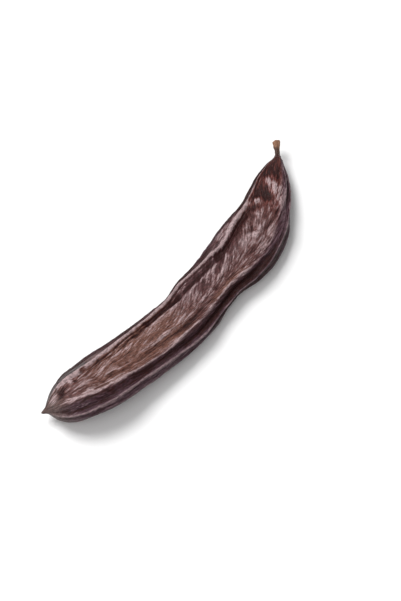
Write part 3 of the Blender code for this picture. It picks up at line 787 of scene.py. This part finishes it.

# %% [markdown]
# ## Pale and dark patches
# Some patches are the skin's own uneven tone, which no formula gives, such as the frosted beak.
# Many are painted light and shade: painted highlights on the bulges towards the neck, and painted
# shade on dark stretches of the hollow edge's flank, in the notch behind the beak and beyond the
# arched edge's rim. They are given one by one as soft dabs of tone on the skin. Pale is above zero.

# %% Patches
# Station and degree, half the length in millimetres, half the width in degrees, and the tone
PATCHES_OF_TONE_SHADE_AND_SHEEN = (
    # The beak and the face next to it; the darkest dabs, in the notch behind the beak, are painted shade
    (4, 76, 1.5, 14, 1.0), (4.4, 94, 1.2, 12, 1.6), (6.4, 99, 1.0, 6, -4.0), (7.2, 89, 0.9, 7, -4.5),
    (8.2, 79, 1.0, 6, -3.5), (9, 95, 1.6, 5, -1.2), (5, 110, 3, 10, -0.8), (6, 120, 3, 5, -1.6),
    (3, 90, 3, 60, -0.3), (9, 117, 6, 5, 1.4), (11, 57, 8, 7, -3.6), (9.5, 72, 2.6, 3, 2.0),
    (10.4, 84, 2.4, 3.5, -2.2), (14, 78.5, 2.6, 3, -1.8), (12, 73, 5, 6, 1.8), (15, 71, 3, 4, 2.0),
    (15, 100, 4, 9, 0.4), (15, 118, 12, 6, 1.7), (21, 86, 4, 7, 0.9), (35, 72, 8, 6, 0.7),
    (29, 61, 4, 5, 1.2), (45, 61, 10, 4, 1.1), (40, 100, 10, 4, 1.5), (34, 108, 12, 3, -0.7),
    (46.5, 122, 4, 5, 2.0), (53, 92, 4, 6, 1.0), (50, 72, 6, 7, -0.8), (51, 46, 10, 3, -1.5),
    # The face past its middle
    (55, 105, 10, 3, -0.5), (62, 112, 4, 4, -0.3), (61, 77, 4, 6, -0.6), (68, 72, 7, 8, -0.8),
    (70, 108, 6, 5, -0.6), (72, 52, 9, 5, -1.2), (74, 80, 3, 8, 0.9), (74, 124, 4, 7, 1.4),
    (78, 98, 3, 7, 1.8), (78, 120, 5, 6, 0.8), (80, 84, 4, 8, 0.5), (87, 88, 4, 12, 1.4),
    (84, 68, 5, 6, -1.4), (91, 66, 5, 6, -2.4), (98, 64, 6, 7, -1.6), (94, 116, 6, 9, 2.0),
    (98, 90, 2, 5, -1.0), (91, 100, 3, 4, -0.5), (101, 106, 2.5, 9, 1.2), (98, 100, 2, 4, -1.6),
    (98, 130, 4, 6, -0.4),
    # Towards the neck: pale dabs are painted highlights, dark ones painted shade
    (103, 63, 1.6, 5, 2.2), (104.2, 71, 1.8, 6, 2.4), (102.4, 78, 1.5, 4, 1.5),
    (113.4, 70, 1.3, 6, 2.2), (112.2, 80, 1.6, 9, 2.8), (111, 91, 1.5, 8, 1.8),
    (109.4, 100, 2.7, 7, 2.8), (107.6, 109, 2.6, 6, 2.2), (107, 75, 2.4, 12, -1.2),
    (113.4, 108, 1.6, 9, -1.0), (118, 92, 3, 28, -0.8), (105, 126, 2.8, 7, 2.6),
    (106.5, 138, 2.4, 9, 3.6), (110, 128, 1.6, 7, 1.8), (105, 56, 3, 7, -2.2), (107, 62, 5, 9, -2.2),
    (106, 88, 1.8, 16, -3.0), (116, 66, 3, 16, -2.6), (115.5, 106, 3, 20, -3.0), (120, 75, 4, 34, -2.4),
    (110, 90, 9, 45, -0.9), (102, 117, 2, 7, -1.4), (113, 138, 3, 8, -0.8), (118, 145, 4, 9, 1.2),
    # Hollow flank: the dark dabs are painted shade
    (4, 45, 4, 22, -2.2), (11, 38, 9, 18, -3.2), (25, 46, 5, 8, 1.5), (30, 30, 5, 9, 0.8),
    (40, 42, 3, 9, 0.9), (34, 20, 10, 7, -2.4), (50, 26, 5, 8, 0.9), (50, 50, 6, 4, 1.2),
    (57, 22, 10, 9, -3.0), (61, 41, 4, 5, 1.4), (68, 50, 13, 16, 0.6), (66, 30, 5, 10, -1.2),
    (78, 36, 8, 9, 1.0), (81, 46, 2.5, 6, -2.6), (76, 26, 2.5, 8, -1.6), (86, 36, 4, 9, 3.2),
    (94, 39, 6, 9, 3.4), (90, 47, 1.2, 4, -1.6), (86.5, 44, 1.0, 4, -1.4), (82.5, 33, 1.2, 9, -2.0),
    (93, 50, 5, 3.5, 2.6), (101, 49, 2, 3, 2.2), (94, 21, 12, 6, -2.0), (103, 30, 4, 10, -3.6),
    (112, 30, 8, 15, -5.5),
    # Arched side: the dark dabs are painted shade
    (66, 139, 24, 8, -2.2), (80, 147, 15, 9, -3.8), (64, 150, 9, 10, -2.0), (24, 137, 16, 8, -1.0),
    (74, 158, 18, 7, -1.4), (33, 158, 11, 10, 1.6), (82, 176, 14, 14, -0.6), (26, 178, 20, 16, 1.6),
    (48, 164, 8, 6, 0.9), (102, 160, 7, 6, 1.8), (70, 180, 7, 18, -2.4), (84, 188, 5, 10, -1.5),
    (3, 185, 3, 14, -1.5), (100, 176, 6, 12, 1.4),
)


def painted(patches):
    """Sum of the patches: each is its tone times a bell along the pod and a bell round it."""
    tone = np.zeros(station.shape)
    for middle, at, long, wide, amount in patches:
        tone += amount * bell(station, middle, long) * bell(degree, at, wide)
    return tone


patch_tone_shade_and_sheen = painted(PATCHES_OF_TONE_SHADE_AND_SHEEN)
print(len(PATCHES_OF_TONE_SHADE_AND_SHEEN), "patches from", patch_tone_shade_and_sheen.min().round(2), "to", patch_tone_shade_and_sheen.max().round(2))

# %% [markdown]
# ## Lines of tone
# Thin painted highlights run along the rims and the keels, sharpest on the hollow edge's rim.
# Painted shade darkens the skin outside the rims, and a line of painted shade runs beside each
# upper rim: in the groove inside the hollow one, and just outside the arched one.

# %% Lines of tone
# Painted shade on the skin outside the rims
OUTSIDE_RIM_SHADE, OUTSIDE_RIM = -0.8, (2, 9)
# Painted highlights along the rim crests and the keels
RIM_HIGHLIGHT, RIM_HIGHLIGHT_SPREAD = 2.4, 1.1
RIM_HIGHLIGHT_AT_BEAK, BEAK_STRETCH = 0.4, (10, 22)
ARCHED_HIGHLIGHT_LATER, LATER_STRETCH = 0.15, (42, 58)
KEEL_HIGHLIGHT_SPREAD = 2.4
HOLLOW_KEEL_HIGHLIGHT, ARCHED_KEEL_HIGHLIGHT = 0.2, 1.9
ARCHED_KEEL_MORE, MIDDLE_STRETCH = 1.3, (24, 84, 14)
# Lines of painted shade: in the groove inside the hollow rim and just outside the arched rim
HOLLOW_GROOVE_SHADE, HOLLOW_GROOVE_SHADE_STRETCH = (-1.3, 6.0, 3.5), (12, 104, 8)
ARCHED_RIM_SHADE, ARCHED_RIM_SHADE_STRETCH = (-1.3, 6.0, 3.0), (4, 62, 8)
UPPER_SKIN_TO = 205


def highlight_and_shade_lines(station, degree):
    """Upper side: painted highlights on rims and keels, painted shade past the rims; shade beside rims."""
    across = np.cos(np.radians(degree))
    from_edge = np.degrees(np.arccos(np.abs(across)))
    rim_at = rim_angle(station, across > 0, degree <= 180)
    # Painted shade outside the rims
    outside_shade = OUTSIDE_RIM_SHADE * softly(rim_at - from_edge, *OUTSIDE_RIM)
    later = between(softly(station, *LATER_STRETCH), 1, ARCHED_HIGHLIGHT_LATER)
    by_beak = between(softly(station, *BEAK_STRETCH), RIM_HIGHLIGHT_AT_BEAK, 1)
    # Painted highlight along the rim crest
    rim_highlight = RIM_HIGHLIGHT * by_beak * np.where(degree < 90, 1.0, later)
    rim_highlight = rim_highlight * ridge(from_edge, rim_at, RIM_HIGHLIGHT_SPREAD)
    # Painted highlight along the keels
    arched_keel = ARCHED_KEEL_HIGHLIGHT + ARCHED_KEEL_MORE * window(station, *MIDDLE_STRETCH)
    keel_highlight = np.where(degree < 90, HOLLOW_KEEL_HIGHLIGHT, arched_keel)
    keel_highlight = keel_highlight * ridge(keel_distance(station, degree), 0, KEEL_HIGHLIGHT_SPREAD)
    above = window(station, 0.0, BODY_LENGTH, END_FADE) * (degree < UPPER_SKIN_TO)
    # Painted shade beside the rims
    inner_shade = band(past_hollow_rim(station, degree), *HOLLOW_GROOVE_SHADE)
    outer_shade = band(past_arched_rim(station, degree), *ARCHED_RIM_SHADE)
    return (above * (outside_shade + rim_highlight + keel_highlight)
            + inner_shade * window(station, *HOLLOW_GROOVE_SHADE_STRETCH)
            + outer_shade * window(station, *ARCHED_RIM_SHADE_STRETCH))


lines = highlight_and_shade_lines(station, degree)
print("lines from", lines.min().round(2), "to", lines.max().round(2))

# %% [markdown]
# ## Streaks of tone
# Some streaks are stronger than the rest: frost behind the beak, painted glints towards the neck
# with darker streaks between them, and long faint ones on the arched side. They are the same
# pleats, under windows and bells.

# %% All of the tone
FROST, FROST_STREAKS = 3.4, (4.0, 64, PLEAT_SEED + 7, True)
FROST_STRETCH, HOLLOW_FROST, ARCHED_FROST = (2, 26, 7), (1.0, 68, 16), (0.8, 118, 8)
# Painted glints towards the neck: pale streaks standing in for highlights, darker ones between
NECK_GLINTS, NECK_GLINT_STREAKS = 1.5, (2.6, 90, PLEAT_SEED + 8, True)
NECK_GLINT_STRETCH = (97, 125, 7)
SIDE_TONE, SIDE_STREAKS = 0.9, (7.0, 120, PLEAT_SEED + 11, True)
SIDE_BAND = (118, 262, 16)


def streak_tone(station, degree):
    """Three sets of pleats, each times a window along the pod or bells and a window round it."""
    frost = band(degree, *HOLLOW_FROST) + band(degree, *ARCHED_FROST)
    frost = FROST * frost * window(station, *FROST_STRETCH) * pleats(station, degree, *FROST_STREAKS)
    # Painted glints towards the neck
    neck_glints = NECK_GLINTS * window(station, *NECK_GLINT_STRETCH) * pleats(station, degree, *NECK_GLINT_STREAKS)
    sides = SIDE_TONE * window(degree, *SIDE_BAND) * pleats(station, degree, *SIDE_STREAKS)
    return frost + neck_glints + sides


tone = patch_tone_shade_and_sheen + lines + streak_tone(station, degree)
print("tone from", tone.min().round(2), "to", tone.max().round(2))

# %% [markdown]
# ## Parts of the skin
# Colour also changes by region. The sides along both edges are purplish, and so is the hollow
# half of the upper face about its middle, a little. The face nearer the beak is a warmer brown.
# Each region is a share at every point. The last value is a place on the skin with no seam, which
# the noise in the material reads: the station, and the width and height of the section.

# %% Regions
FLANK_FROM, FLANK_FULL = 0.78, 0.97
MAUVE, MAUVE_STRETCH, MAUVE_BAND = 0.5, (48, 94, 14), (55, 26)
WARM_STRETCH = (6, 64, 20)
WARM_SPOT, WARM_SPOT_STRETCH, WARM_SPOT_BAND = 1.2, (58, 84, 10), (118, 9)
FACE_EDGE = (-4, 6)
STEEPEST_LEAN = 3.2
PLACE_SCALE, PLACE_HEIGHT = 0.1, 8.0

across, lift = np.cos(np.radians(degree)), np.sin(np.radians(degree))
slant = np.clip(lean(station, degree) / STEEPEST_LEAN, 0, 1)
side = window(degree, *SIDE_BAND)
mauve = MAUVE * window(station, *MAUVE_STRETCH) * bell(degree, *MAUVE_BAND)
flank = np.maximum(softly(across, FLANK_FROM, FLANK_FULL), mauve)
inside_rim = np.degrees(np.arccos(np.abs(across))) - rim_angle(station, across > 0, degree <= 180)
face = softly(inside_rim, *FACE_EDGE) * (degree < 180)
warm_spot = WARM_SPOT * window(station, *WARM_SPOT_STRETCH) * bell(degree, *WARM_SPOT_BAND)
warm = face * np.maximum(window(station, *WARM_STRETCH), warm_spot)
skin_place = np.stack([station, across * width, lift * PLACE_HEIGHT], -1) * PLACE_SCALE
print("mean over the grid: side", side.mean().round(2), "flank", flank.mean().round(2),
      "warm", warm.mean().round(2))

# %% [markdown]
# ## The two pieces
# The pod and its stalk take the place of the frame's two plain solids. Both ride on the part's
# one body, because a dry pod has nothing that moves.

# %% The two pieces
# From the middle of the first ring to the beak's tip, in millimetres
BEAK_TIP = (-0.25, 0.2, 0.0)
STALK_HOLLOW = 0.25

beak = body_points[0].mean(axis=0) + np.array(BEAK_TIP)
# Crest and tone carry painted shade and highlights as well as the skin's own tone
skin_values = {"crest": crest, "tone": tone, "side": side, "warm": warm, "along": station / BODY_LENGTH,
               "slant": slant, "flank": flank, "skin_place": skin_place}
pod = closed_mesh("pod_body", body_grid, beak, neck[-1].mean(axis=0),
                  {key: down_to_neck(value) for key, value in skin_values.items()})

tip_inward = stalk_points[-2].mean(axis=0) - stalk_points[-1].mean(axis=0)
stalk_tip = stalk_points[-1].mean(axis=0) + STALK_HOLLOW * tip_inward / np.linalg.norm(tip_inward)
stalk_place = np.stack([reach, np.cos(np.radians(angle)), np.sin(np.radians(angle))], -1)
stalk = closed_mesh("pod_stalk", stalk_points, stalk_points[0].mean(axis=0), stalk_tip,
                    {"along": reach / STALK_AT[-1], "skin_place": stalk_place})

for piece, node, slot in ((pod, "pod", "pod_skin"), (stalk, "stalk", "stalk_bark")):
    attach(piece, "root")
    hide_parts(node)
    print(piece.name, len(piece.data.polygons), "faces")

# %% [markdown]
# ## Helpers for numbers in a material
# A material is a tree of nodes. Most of these helpers add one node and join it up, so that the
# recipes for skin and bark below read as short steps. The first four start a material, fetch a
# stored value, do arithmetic, and turn one range of numbers into another.

# %% Nodes for numbers
def new_material(name):
    """A material with its node tree and its Principled shader."""
    material = bpy.data.materials.new(name)
    material.use_nodes = True
    tree = material.node_tree
    return material, tree, tree.nodes["Principled BSDF"]


def attribute(tree, name, vector=False):
    """The output socket of a named value stored on the mesh."""
    node = tree.nodes.new("ShaderNodeAttribute")
    node.attribute_name = name
    return node.outputs["Vector" if vector else "Fac"]


def math_node(tree, operation, first, second):
    """One arithmetic step on two sockets or numbers."""
    node = tree.nodes.new("ShaderNodeMath")
    node.operation = operation
    for socket, value in zip(node.inputs, (first, second)):
        if isinstance(value, float):
            socket.default_value = value
        else:
            tree.links.new(value, socket)
    return node.outputs["Value"]


def smooth_range(tree, value, low, high, to_low=0.0, to_high=1.0):
    """A smooth step of a socket from one range of numbers to another."""
    node = tree.nodes.new("ShaderNodeMapRange")
    node.interpolation_type = "SMOOTHSTEP"
    tree.links.new(value, node.inputs["Value"])
    for key, number in (("From Min", low), ("From Max", high), ("To Min", to_low), ("To Max", to_high)):
        node.inputs[key].default_value = number
    return node.outputs["Result"]


# %% [markdown]
# ## Helpers for noise, blends and bumps
# The noise reads the place stored on the skin, not the space around the pod, so it bends with the
# pod and runs along it. Noise stretched along the pod is what makes fibres and streaks.

# %% Nodes for noise, blends and bumps
# Where a mix node keeps the sockets of its two colours and of their blend
MIX_COLOUR_A, MIX_COLOUR_B, MIX_COLOUR_RESULT = 6, 7, 2


def stretched_noise(tree, place, stretch, scale, detail, roughness=0.55, turn=0.0):
    """Noise on the skin's own coordinates, drawn out along the pod or turned from it."""
    mapping = tree.nodes.new("ShaderNodeMapping")
    mapping.vector_type = "TEXTURE"
    mapping.inputs["Rotation"].default_value = (0.0, 0.0, turn)
    mapping.inputs["Scale"].default_value = [1 / share for share in stretch]
    tree.links.new(place, mapping.inputs["Vector"])
    noise = tree.nodes.new("ShaderNodeTexNoise")
    noise.inputs["Scale"].default_value = scale
    noise.inputs["Detail"].default_value = detail
    noise.inputs["Roughness"].default_value = roughness
    tree.links.new(mapping.outputs["Vector"], noise.inputs["Vector"])
    return noise.outputs["Fac"]


def mix_value(tree, share, first, second):
    """A blend of two numbers by a share."""
    node = tree.nodes.new("ShaderNodeMix")
    for name, socket in (("Factor", share), ("A", first), ("B", second)):
        tree.links.new(socket, node.inputs[name])
    return node.outputs["Result"]


def mix_colour(tree, share, first, second):
    """A blend of two colours or sockets by a share."""
    node = tree.nodes.new("ShaderNodeMix")
    node.data_type = "RGBA"
    tree.links.new(share, node.inputs["Factor"])
    for index, value in ((MIX_COLOUR_A, first), (MIX_COLOUR_B, second)):
        if isinstance(value, tuple):
            node.inputs[index].default_value = (*value, 1.0)
        else:
            tree.links.new(value, node.inputs[index])
    return node.outputs[MIX_COLOUR_RESULT]


def rough_surface(tree, shader, height, strength, distance):
    """Fine relief too small for the mesh: a bump of the height, a distance deep in metres."""
    bump = tree.nodes.new("ShaderNodeBump")
    bump.inputs["Strength"].default_value = strength
    bump.inputs["Distance"].default_value = distance
    tree.links.new(height, bump.inputs["Height"])
    tree.links.new(bump.outputs["Normal"], shader.inputs["Normal"])


# %% [markdown]
# ## How pale each place is
# The skin runs from maroon through brown to pale bloom, and one number says how far: its level.
# The low end also carries painted shade, and the high end painted sheen and highlights.
# The stored crest and tone set it, and noise stretched along the pod breaks it up, so that no
# patch has a clean edge. Streaks are stronger where the skin is pale, and come and go.

# %% The skin's level
# Stretch along three axes, scale, detail and roughness
STREAKS = ((0.5, 3.4, 3.4), 4.4, 6, 0.70)
STREAK_TURN = math.radians(24)
BLOTCHES = ((0.45, 1.0, 1.0), 1.6, 4)
CALM_PATCHES = ((0.7, 1.0, 1.0), 2.2, 2)
TONE_SHARE = 0.8
# Range read, then range given
STREAK_RANGE = (0.35, 0.65, -1.0, 1.0)
STREAKS_BY_TONE = (-1.5, 2.0, 0.8, 1.35)
STREAKS_BY_PATCH = (0.36, 0.64, 0.4, 1.5)
BLOTCH_RANGE = (0.3, 0.7, -0.5, 0.5)


def skin_streaks(tree, place):
    """Noise drawn out straight along the pod, blended with the same noise turned by a slant."""
    straight = stretched_noise(tree, place, *STREAKS)
    slanted = stretched_noise(tree, place, *STREAKS, STREAK_TURN)
    return mix_value(tree, attribute(tree, "slant"), straight, slanted)


def skin_level(tree, place, streak):
    """Crest, plus a share of the tone, plus streaks times two factors, plus blotches."""
    tone_at = attribute(tree, "tone")
    toned = math_node(tree, "MULTIPLY", tone_at, TONE_SHARE)
    level = math_node(tree, "ADD", attribute(tree, "crest"), toned)
    part = smooth_range(tree, streak, *STREAK_RANGE)
    part = math_node(tree, "MULTIPLY", part, smooth_range(tree, tone_at, *STREAKS_BY_TONE))
    calm = stretched_noise(tree, place, *CALM_PATCHES)
    part = math_node(tree, "MULTIPLY", part, smooth_range(tree, calm, *STREAKS_BY_PATCH))
    level = math_node(tree, "ADD", level, part)
    blotch = stretched_noise(tree, place, *BLOTCHES)
    return math_node(tree, "ADD", level, smooth_range(tree, blotch, *BLOTCH_RANGE))


# %% [markdown]
# ## The skin's colours
# Brown is the skin's middle colour. It is warmer on the face, redder by the neck, purplish on the
# sides and grey at the beak. A low level turns it to maroon, the skin's own dark and also painted
# shade in hollows, grooves and beside the rims. A high one turns it to a pinkish grey, partly the
# pod's bloom and partly painted sheen and highlights. Fine grain makes it lighter and darker from
# speck to speck.

# %% The skin's colours
# Maroon: the skin's own dark, and also the painted shade in hollows, grooves and beside the rims
MAROON = (0.026, 0.0062, 0.0056)
BROWN = (0.100, 0.041, 0.038)
WARM_BROWN = (0.135, 0.057, 0.041)
RED_BROWN = (0.118, 0.033, 0.027)
# Pinkish grey: partly the pod's bloom, partly painted sheen and highlights
BLOOM_AND_SHEEN = (0.385, 0.280, 0.284)
PURPLE = (0.058, 0.028, 0.040)
BEAK_GREY = (0.115, 0.078, 0.068)
PURPLE_SHARE = 0.9
RED_BY_NECK = (0.79, 0.87)
GREY_AT_BEAK = (0.02, 0.08, 0.8, 0.0)
BROWN_LEVELS = (-2.1, 0.4)
BLOOM_AND_SHEEN_LEVELS = (-0.1, 2.6, 0.0, 0.95)
BLOOM_AND_SHEEN_ON_SIDES = (0.0, 1.0, 1.0, 0.45)
GRAIN_BRIGHTNESS = (0.36, 0.64, 0.62, 1.40)


def brown_skin(tree):
    """The brown of each region: four blends, one over the other."""
    along_at = attribute(tree, "along")
    brown = mix_colour(tree, attribute(tree, "warm"), BROWN, WARM_BROWN)
    brown = mix_colour(tree, smooth_range(tree, along_at, *RED_BY_NECK), brown, RED_BROWN)
    flanks = math_node(tree, "MAXIMUM", attribute(tree, "side"), attribute(tree, "flank"))
    brown = mix_colour(tree, math_node(tree, "MULTIPLY", flanks, PURPLE_SHARE), brown, PURPLE)
    return mix_colour(tree, smooth_range(tree, along_at, *GREY_AT_BEAK), brown, BEAK_GREY)


def skin_colour(tree, level, grain):
    """Maroon to brown to pale pinkish grey as the level rises, with less pale on the side, times the
    grain.
    """
    # Low levels give maroon skin and painted shade, high ones bloom and painted sheen
    dark = mix_colour(tree, smooth_range(tree, level, *BROWN_LEVELS), MAROON, brown_skin(tree))
    bloom_and_sheen = smooth_range(tree, level, *BLOOM_AND_SHEEN_LEVELS)
    on_side = smooth_range(tree, attribute(tree, "side"), *BLOOM_AND_SHEEN_ON_SIDES)
    colour = mix_colour(tree, math_node(tree, "MULTIPLY", bloom_and_sheen, on_side), dark, BLOOM_AND_SHEEN)
    speckled = tree.nodes.new("ShaderNodeVectorMath")
    speckled.operation = "SCALE"
    tree.links.new(colour, speckled.inputs[0])
    tree.links.new(smooth_range(tree, grain, *GRAIN_BRIGHTNESS), speckled.inputs["Scale"])
    return speckled.outputs["Vector"]


# %% [markdown]
# ## The skin's finish
# Carob skin is leathery, with a dull shine. Pale places, bloom and painted sheen alike, are duller
# than bare skin, and the purplish side of the hollow edge is duller still. Grain and streaks also
# roughen the surface, at a size that a mesh would need millions of faces to hold.

# %% The skin
GRAIN = ((0.8, 2.0, 2.0), 13.0, 4, 0.70)
ROUGHNESS_LEVELS = (-1.5, 1.2, 0.30, 0.44)
FLANK_ROUGHER = 0.3
SKIN_SHINE = 0.20
STREAK_BUMP, SKIN_BUMP, SKIN_BUMP_DEPTH = 1.5, 0.9, 0.3 * MM


def skin_material():
    """Painted shade in maroon hollows, painted sheen on pale crests, brown faces, purplish sides, grey
    beak.
    """
    material, tree, shader = new_material("pod_skin")
    place = attribute(tree, "skin_place", True)
    streak, grain = skin_streaks(tree, place), stretched_noise(tree, place, *GRAIN)
    level = skin_level(tree, place, streak)
    tree.links.new(skin_colour(tree, level, grain), shader.inputs["Base Color"])
    rougher = math_node(tree, "MULTIPLY", attribute(tree, "flank"), FLANK_ROUGHER)
    rough = math_node(tree, "ADD", smooth_range(tree, level, *ROUGHNESS_LEVELS), rougher)
    tree.links.new(rough, shader.inputs["Roughness"])
    shader.inputs["Specular IOR Level"].default_value = SKIN_SHINE
    height = math_node(tree, "ADD", grain, math_node(tree, "MULTIPLY", streak, STREAK_BUMP))
    rough_surface(tree, shader, height, SKIN_BUMP, SKIN_BUMP_DEPTH)
    return material


pod.data.materials.append(skin_material())
print("pod has", pod.data.materials[0].name)

# %% [markdown]
# ## The stalk's bark
# The stalk is dry wood: tan fibres over dark bark, worn paler towards the knob, where the break
# shows fresh wood. One noise, drawn out along it, carries colour and bump alike.

# %% The bark
BARK = (0.21, 0.100, 0.055)
BARK_DARK = (0.040, 0.017, 0.012)
BARK_PALE = (0.52, 0.30, 0.20)
FIBRES = ((0.5, 2.5, 2.5), 3.0, 5, 0.6)
WORN_ALONG = (0.40, 0.88, -0.22, 0.12)
BARK_RANGE = (0.32, 0.58)
PALE_FIBRES = (0.5, 0.75)
PALE_ALONG = (0.5, 0.95, 0.25, 1.2)
BARK_ROUGHNESS = 0.8
BARK_BUMP, BARK_BUMP_DEPTH = 0.5, 0.1 * MM


def bark_material():
    """Dark bark to tan fibres to pale wood, by the fibres' noise and the place along the stalk."""
    material, tree, shader = new_material("stalk_bark")
    fibre = stretched_noise(tree, attribute(tree, "skin_place", True), *FIBRES)
    along_at = attribute(tree, "along")
    worn = math_node(tree, "ADD", fibre, smooth_range(tree, along_at, *WORN_ALONG))
    base = mix_colour(tree, smooth_range(tree, worn, *BARK_RANGE), BARK_DARK, BARK)
    pale = math_node(tree, "MULTIPLY", smooth_range(tree, fibre, *PALE_FIBRES),
                     smooth_range(tree, along_at, *PALE_ALONG))
    tree.links.new(mix_colour(tree, pale, base, BARK_PALE), shader.inputs["Base Color"])
    shader.inputs["Roughness"].default_value = BARK_ROUGHNESS
    rough_surface(tree, shader, fibre, BARK_BUMP, BARK_BUMP_DEPTH)
    return material


stalk.data.materials.append(bark_material())
print("stalk has", stalk.data.materials[0].name)

# %% [markdown]
# ## The floor
# The pod lies on a plain pale floor, wide enough to have no edge in sight. It takes the pod's
# shadow, which shows how the pod rests on three spots and stands clear between them.

# %% Floor
FLOOR_HALF = 3.0
FLOOR_WHITE = (0.93, 0.93, 0.93)
FLOOR_ROUGHNESS, FLOOR_SHINE = 0.9, 0.2


def floor_material():
    """Plain matt white."""
    material, _, shader = new_material("floor_white")
    shader.inputs["Base Color"].default_value = (*FLOOR_WHITE, 1.0)
    shader.inputs["Roughness"].default_value = FLOOR_ROUGHNESS
    shader.inputs["Specular IOR Level"].default_value = FLOOR_SHINE
    return material


corners = [(FLOOR_HALF * x, FLOOR_HALF * y, 0) for x, y in ((-1, -1), (1, -1), (1, 1), (-1, 1))]
floor_mesh = bpy.data.meshes.new("floor")
floor_mesh.from_pydata(corners, [], [(0, 1, 2, 3)])
floor_mesh.materials.append(floor_material())
floor = bpy.data.objects.new("floor", floor_mesh)
bpy.context.scene.collection.objects.link(floor)

# %% [markdown]
# ## The light
# The pod is lit from high up behind its hollow edge by one broad lamp, which gives a soft shadow
# towards the arched edge. A weaker lamp beyond the beak and a pale surround fill the shadows.

# %% Light
SURROUND_STRENGTH = 0.30

world = bpy.data.worlds.new("surround")
world.use_nodes = True
background = world.node_tree.nodes["Background"]
background.inputs["Color"].default_value = (1.0, 1.0, 1.0, 1.0)
background.inputs["Strength"].default_value = SURROUND_STRENGTH
bpy.context.scene.world = world


def soft_light(name, direction, distance, size, power):
    """A square area light at a distance in a direction, facing the pod."""
    data = bpy.data.lights.new(name, "AREA")
    data.energy, data.size = power, size
    lamp = bpy.data.objects.new(name, data)
    lamp.location = Vector(direction).normalized() * distance
    lamp.rotation_mode = "QUATERNION"
    lamp.rotation_quaternion = (-lamp.location).to_track_quat("-Z", "Y")
    bpy.context.scene.collection.objects.link(lamp)
    print(name, "lamp of", power, "W at", [round(part, 2) for part in lamp.location])


soft_light("key", direction=(-0.10, 0.60, 1.1), distance=0.8, size=0.46, power=6.2)
soft_light("fill", direction=(-0.7, -0.2, 1.0), distance=0.9, size=0.60, power=2.4)

# %% [markdown]
# ## The camera
# The camera looks down steeply from beyond the beak and the arched edge. It stands over half a
# metre off with a long lens, so that the pod's two ends show at nearly the same scale. The lens
# follows from how many pixels a millimetre of the pod should take.

# %% Camera
AZIMUTH, ELEVATION, DISTANCE = math.radians(-53.5), math.radians(60.0), 0.62
AIM = (60.85, -14.41, 2.71)
PIXELS_PER_MM, IMAGE_HEIGHT, SENSOR = 3.2, 601, 36.0
CLIP_START = 0.01

back = Vector((math.sin(AZIMUTH) * math.cos(ELEVATION), -math.cos(AZIMUTH) * math.cos(ELEVATION),
               math.sin(ELEVATION)))
right = Vector((math.cos(AZIMUTH), math.sin(AZIMUTH), 0))
camera = bpy.data.objects.new("camera", bpy.data.cameras.new("camera"))
camera.data.sensor_width = SENSOR
camera.data.lens = PIXELS_PER_MM * DISTANCE / MM / IMAGE_HEIGHT * SENSOR
camera.data.clip_start = CLIP_START
facing = Matrix((right, back.cross(right), back)).transposed().to_4x4()
facing.translation = (Vector(AIM) - Vector((*PLAN_MIDDLE, 0))) * MM + back * DISTANCE
camera.matrix_world = facing
bpy.context.scene.collection.objects.link(camera)
bpy.context.scene.camera = camera
bpy.context.scene.view_settings.view_transform = "Standard"
print("lens", round(camera.data.lens, 1), "mm")
